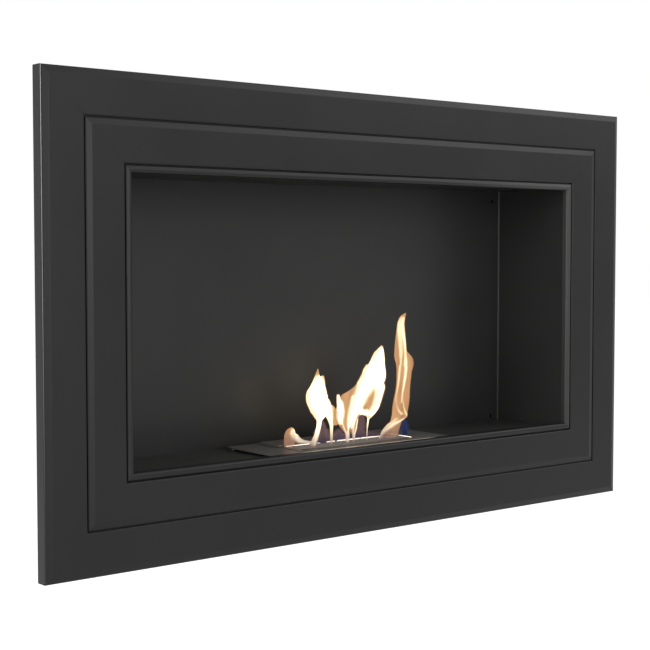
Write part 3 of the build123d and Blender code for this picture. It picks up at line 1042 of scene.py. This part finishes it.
def studio_floor():
    """A plain pale floor under the hanging fireplace, which keeps its shadow."""
    studio = settings().studio
    deselect()
    bpy.ops.mesh.primitive_plane_add(
        size=studio.floor_size, location=(0, 0, FRAME_BOX[0].z - studio.floor_drop))
    floor = bpy.context.object
    floor.name = "studio_floor"
    settle(floor)
    graph = new_material("pale_floor")
    black, glow = (0.0, 0.0, 0.0), [studio.floor_glow] * 3
    floor.data.materials.append(graph.surface({
        "Base Color": graph.blend(graph.noise(3.0, 3.0), (0.68, 0.68, 0.68), (0.72, 0.72, 0.72)),
        "Roughness": 0.9,
        "Specular IOR Level": 0.1,
        "Emission Color": graph.blend(background_share(graph), black, glow),
        "Emission Strength": 1.0,
    }))


def hole_shades():
    """Painted shade: a black card behind each fixing hole, standing for the shaded wall there."""
    mounts = frame["record"]["mounts"]
    pattern = next(mount["dims"] for mount in mounts if mount["name"] == "wall_fixings")
    across, up = pattern["spacing_x_mm"] / 2 * MM, pattern["spacing_y_mm"] / 2 * MM
    radius, behind = 5 * MM, 1.5 * MM
    shade = hole_shade_material()
    for number, (x, z) in enumerate([(-across, -up), (across, -up), (across, up), (-across, up)]):
        deselect()
        bpy.ops.mesh.primitive_circle_add(
            vertices=24, radius=radius, fill_type="NGON", location=(x, behind, z),
            rotation=(math.radians(90), 0, 0))
        card = bpy.context.object
        card.name = f"hole_shade_{number}"
        settle(card)
        card.data.materials.append(shade)


def softbox(name, place, power):
    """A large soft lamp that faces the fireplace."""
    target = (FRAME_BOX[0] + FRAME_BOX[1]) / 2
    deselect()
    bpy.ops.object.light_add(type="AREA", location=place)
    lamp = bpy.context.object
    lamp.name = name
    lamp.rotation_euler = (target - Vector(place)).to_track_quat("-Z", "Y").to_euler()
    lamp.data.shape = "RECTANGLE"
    lamp.data.size = lamp.data.size_y = SOFTBOX_WIDTH
    lamp.data.energy = power


def portrait_camera():
    """The camera, placed from the frame's lower left front corner."""
    studio = settings().studio
    deselect()
    bpy.ops.object.camera_add(location=FRAME_BOX[0] + Vector(studio.camera_from_corner))
    camera = bpy.context.object
    camera.name = "portrait_camera"
    camera.rotation_euler = Euler((math.radians(90) + studio.camera_tilt, 0, -studio.camera_turn))
    camera.data.sensor_width = 36.0
    camera.data.lens = studio.lens
    bpy.context.scene.camera = camera


# Operators

class FIREPLACE_OT_frame_coat(Operator):
    """Gives the stepped frame its satin black coat"""
    bl_idname = "fireplace.frame_coat"
    bl_label = "Frame coat"

    def execute(self, context):
        finish = settings().finishes
        dress(RAILS, coat_material("frame_coat", finish.coat_colour, welded=False))
        # Each place's colour is painted light laid over the satin coat
        for name, limits, thin in self.painted_light_places():
            painted_light_strips = [(limits, thin)]
            dress([name], coat_material(f"{name}_coat", finish.coat_colour, False, painted_light_strips))
        return {"FINISHED"}

    def painted_light_places(self):
        """Where light is painted on the coat: a painted highlight down the left front edge, a
        painted glint of flame light along the rim's lower fold, and painted light on the rims'
        right ends.
        """
        arris_highlight, lip, right_end_light = (0.34, 0.34, 0.33), (0.5, 0.49, 0.47), (0.036, 0.036, 0.035)
        far, sharp = 2.0, 0.1 * MM
        inner_tier_rise = 2.9 * MM
        left = FRAME_BOX[0][0]
        front = FRAME_BOX[0][1] + inner_tier_rise
        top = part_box("rim_bottom")[1].z
        # Painted highlight: a bright line down the left front edge, stronger towards the top
        yield "outer_tier_left", [
            (0, left - MM, left + 0.5 * MM, sharp),
            (1, front - 0.4 * MM, front + 0.5 * MM, sharp),
            (2, 0.025, far, 0.275)], arris_highlight
        # Painted glint: flame light on the rim's lower fold in front of the burner, laid on as a
        # pale band
        yield "rim_bottom", [
            (0, -105 * MM, 95 * MM, 8 * MM),
            (1, front + 2.6 * MM, front + 9 * MM, sharp),
            (2, top - 0.4 * MM, top + MM, sharp)], lip
        # Painted light: the top rim lighter towards its right end and the right rim lighter towards
        # its top, where more light falls
        yield "rim_top", [(0, 0.2, far, 0.13)], right_end_light
        yield "rim_right", [(2, -0.2, far, 0.35)], right_end_light


class FIREPLACE_OT_casing_coat(Operator):
    """Gives the casing its satin black coat and spot welds"""
    bl_idname = "fireplace.casing_coat"
    bl_label = "Casing coat"

    def execute(self, context):
        finish = settings().finishes
        # The casing's colour is partly painted light
        dress(CASING, coat_material("casing_coat", finish.casing_coat_and_light, welded=True))
        # The floor's colour is partly painted light
        dress(CASING_FLOOR, coat_material("floor_coat", finish.floor_coat_and_light, welded=True))
        return {"FINISHED"}


class FIREPLACE_OT_burner_finish(Operator):
    """Finishes the burner: coated plate and shutter, bare tank, and heat-tinted slot lining"""
    bl_idname = "fireplace.burner_finish"
    bl_label = "Burner finish"

    def execute(self, context):
        dress(COATED_BURNER, burner_coat_material())
        dress(BARE_BURNER, steel_material("burner_steel", heated=False))
        dress(HOT_BURNER, steel_material("tinted_steel", heated=True))
        return {"FINISHED"}


class FIREPLACE_OT_fasteners(Operator):
    """Models the threaded studs and the nuts, and plates them and the corner keys"""
    bl_idname = "fireplace.fasteners"
    bl_label = "Studs and nuts"

    def execute(self, context):
        zinc = zinc_material()
        dress(["corner_keys", "frame_studs", "frame_nuts"], zinc)
        centres = stud_centres()
        stud_low, stud_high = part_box("frame_studs")
        nut_low, nut_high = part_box("frame_nuts")
        row = max(centre.x for centre in centres) - min(centre.x for centre in centres)
        radius = (stud_high.x - stud_low.x - row) / 2
        corner = (nut_high.x - nut_low.x - row) / 2
        stud = threaded_stud(radius, stud_low.y, stud_high.y)
        studs = join(copy_to(stud, centres), "threaded_studs")
        nut = hexagon_nut(corner, radius + 0.03 * MM, nut_low.y, nut_high.y)
        nuts = join(copy_to(nut, centres), "hexagon_nuts")
        for piece, node in ((studs, "frame_studs"), (nuts, "frame_nuts")):
            finish_piece(piece, zinc, "casing")
            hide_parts(node)
        return {"FINISHED"}


class FIREPLACE_OT_fibre_pad(Operator):
    """Models the matted fibre pad in the burner's tank"""
    bl_idname = "fireplace.fibre_pad"
    bl_label = "Fibre pad"

    def execute(self, context):
        material = fibre_material()
        dress(["ceramic_wool"], material)
        pad = finish_piece(fibre_pad(), material, "burner", angle=math.radians(180))
        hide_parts("ceramic_wool")
        return {"FINISHED"}


class FIREPLACE_OT_flames(Operator):
    """Models each flame's thin edge, body and core, and the haze and glow at the slot"""
    bl_idname = "fireplace.flames"
    bl_label = "Flames"

    def execute(self, context):
        flames = settings().flames
        edge, body, core = edge_material(), body_material(), core_material()
        for name, flame in FLAMES.items():
            behind, bright = flame["behind"], flame["bright"]
            outline = flame["tongues"] + flame["legs"]
            burn_tongues(f"flame_{name}_edge", outline, 1.0, behind, edge)
            layer = burn_tongues(f"flame_{name}_body", outline, flames.body_share, behind, body)
            heat_up(layer, bright + flame["streaks"], flame["hottest"])
            if bright:
                burn_tongues(f"flame_{name}_core", bright, flames.core_share, behind, core)
        haze, blue = haze_material(), blue_material()
        for number, share in enumerate(SHELLS):
            burn_tongues(f"flame_haze_{number}", HAZE, share, HAZE_BEHIND, haze)
            burn_tongues(f"flame_blue_{number}", BLUE_FOOT, share, HAZE_BEHIND, blue)
        slot_glow(slot_glow_material("flame_line", (1.0, 0.86, 0.74), (0.8, 1.0), 2.2))
        slot_vapour(slot_glow_material("flame_vapour", (0.2, 0.175, 0.155), (0.55, 0.66), 1.0))
        return {"FINISHED"}


class FIREPLACE_OT_studio(Operator):
    """Sets up the pale floor, the white surroundings, the soft lamps and the camera"""
    bl_idname = "fireplace.studio"
    bl_label = "Studio"

    def execute(self, context):
        studio_world()
        studio_floor()
        hole_shades()
        for name, place, power in SOFTBOXES:
            softbox(name, place, power)
        portrait_camera()
        context.scene.view_settings.view_transform = "Standard"
        return {"FINISHED"}


SIDEBAR = [
    ("Finishes", "finishes", [
        "fireplace.frame_coat", "fireplace.casing_coat", "fireplace.burner_finish",
        "fireplace.fibre_pad"]),
    ("Fasteners", "fasteners", ["fireplace.fasteners"]),
    ("Flames", "flames", ["fireplace.flames"]),
    ("Studio", "studio", ["fireplace.studio"]),
]


class FIREPLACE_PT_sidebar(Panel):
    """Sidebar with the fireplace's settings and steps"""
    bl_label = "Fireplace"
    bl_idname = "FIREPLACE_PT_sidebar"
    bl_space_type = "VIEW_3D"
    bl_region_type = "UI"
    bl_category = "Fireplace"

    def draw(self, context):
        for title, part, steps in SIDEBAR:
            box = self.layout.box()
            box.label(text=title)
            group = getattr(context.scene.fireplace, part)
            for name in group.bl_rna.properties.keys():
                if name not in ("rna_type", "name"):
                    box.prop(group, name)
            for step in steps:
                box.operator(step)


CLASSES = [
    FireplaceFinishes, FireplaceFasteners, FireplaceFlames, FireplaceStudio, FireplaceSettings,
    FIREPLACE_OT_frame_coat, FIREPLACE_OT_casing_coat, FIREPLACE_OT_burner_finish,
    FIREPLACE_OT_fasteners, FIREPLACE_OT_fibre_pad, FIREPLACE_OT_flames, FIREPLACE_OT_studio,
    FIREPLACE_PT_sidebar,
]


def register():
    for part in CLASSES:
        bpy.utils.register_class(part)
    bpy.types.Scene.fireplace = PointerProperty(type=FireplaceSettings)


def unregister():
    del bpy.types.Scene.fireplace
    for part in reversed(CLASSES):
        bpy.utils.unregister_class(part)


def main():
    register()
    bpy.ops.fireplace.studio()
    bpy.ops.fireplace.frame_coat()
    bpy.ops.fireplace.casing_coat()
    bpy.ops.fireplace.burner_finish()
    bpy.ops.fireplace.fasteners()
    bpy.ops.fireplace.fibre_pad()
    bpy.ops.fireplace.flames()


if __name__ == "__main__":
    main()
